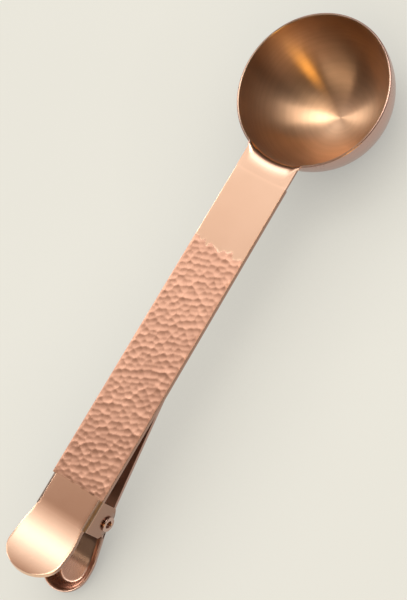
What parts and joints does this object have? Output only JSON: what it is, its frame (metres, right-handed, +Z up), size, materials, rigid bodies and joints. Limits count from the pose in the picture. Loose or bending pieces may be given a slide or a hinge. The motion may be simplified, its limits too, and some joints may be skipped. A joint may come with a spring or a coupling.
{
  "type": "coffee scoop with bag clip",
  "caption": "Round-bowled coffee scoop on a flat hammered handle, with a sprung clip hinged under the handle's tail for closing a bag.",
  "frame": {"origin": "centre of the bowl's flat base", "axes": "+X along the handle from its tail to the bowl, +Z up out of the bowl's mouth, +Y across the handle along the hinge pin"},
  "size_m": [0.1672, 0.043, 0.0252],
  "materials": {
    "brushed_copper": "copper-coloured plating, brushed in rings",
    "hammered_copper": "copper-coloured plating, satin, with a hammered panel",
    "satin_copper": "copper-coloured plating, satin",
    "rivet_copper": "copper-coloured plating, rolled",
    "spring_steel": "bare spring wire"
  },
  "bodies": {
    "scoop": {"bowl": "brushed_copper", "handle": "hammered_copper", "hinge_pin": "rivet_copper", "torsion_spring": "spring_steel"},
    "clip": {"clip_arm": "satin_copper"}
  },
  "joints": [
    {"name": "clip_hinge", "type": "hinge", "parent": "scoop", "child": "clip", "pos_m": [-0.1235, 0, 0.0131], "axis": [0, 1, 0], "range_deg": [0, 47], "stiffness_Nm_per_rad": 0.3, "springref_deg": -34.38, "deforming": ["torsion_spring"]}
  ]
}
